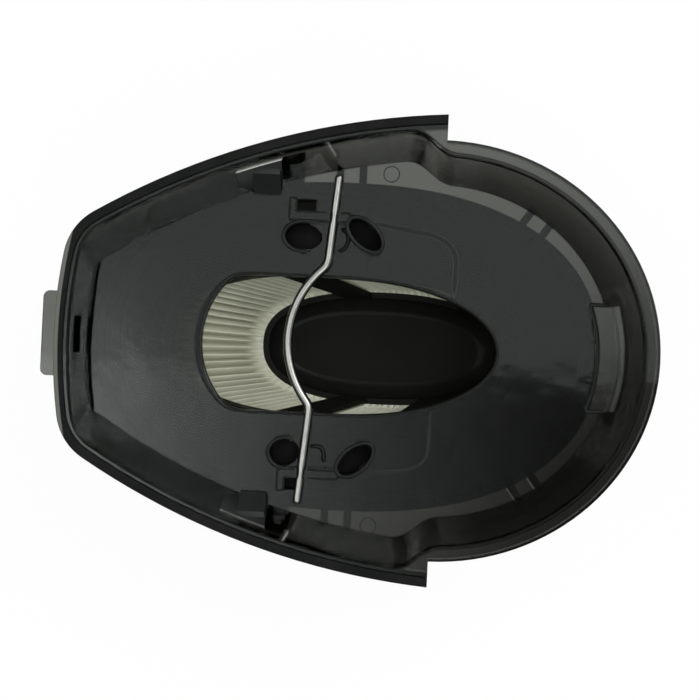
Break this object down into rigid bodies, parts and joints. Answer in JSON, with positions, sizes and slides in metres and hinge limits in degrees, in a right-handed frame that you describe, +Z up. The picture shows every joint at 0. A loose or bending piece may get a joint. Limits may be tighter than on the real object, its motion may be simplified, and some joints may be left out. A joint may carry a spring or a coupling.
{
  "type": "vacuum filter",
  "caption": "Iron-shaped translucent filter tray with an oval window onto leaning pleated media, a sprung cleaning wire across it, a rim seal and a mesh-lined oval shroud behind.",
  "frame": {"origin": "under the middle of the part, on the surface it lies on", "axes": "+Z up towards the open side, +X towards the round end, +Y across"},
  "size_m": [0.145, 0.1108, 0.063],
  "materials": {
    "smoke_plastic": "glossy translucent smoke grey",
    "seal_rubber": "matt soft black",
    "spring_steel": "bright drawn wire",
    "filter_cloth": "cream pleated non-woven",
    "black_plastic": "glossy moulded black",
    "gasket_foam": "matt black foam",
    "shroud_plastic": "satin moulded black",
    "mesh": "fine woven wire"
  },
  "bodies": {
    "filter_body": {"filter_housing": "smoke_plastic", "rim_seal": "seal_rubber", "pleated_media": "filter_cloth", "media_cage": "black_plastic", "element_gasket": "gasket_foam", "shroud": "shroud_plastic", "shroud_mesh": "mesh"},
    "wire": {"cleaning_wire": "spring_steel"}
  },
  "joints": [
    {"name": "wire_flick", "type": "hinge", "parent": "filter_body", "child": "wire", "pos_m": [-0.0079, 0, 0.0453], "axis": [0.0837, 0.9965, 0], "range_deg": [0, 60], "stiffness_Nm_per_rad": 0.15}
  ]
}
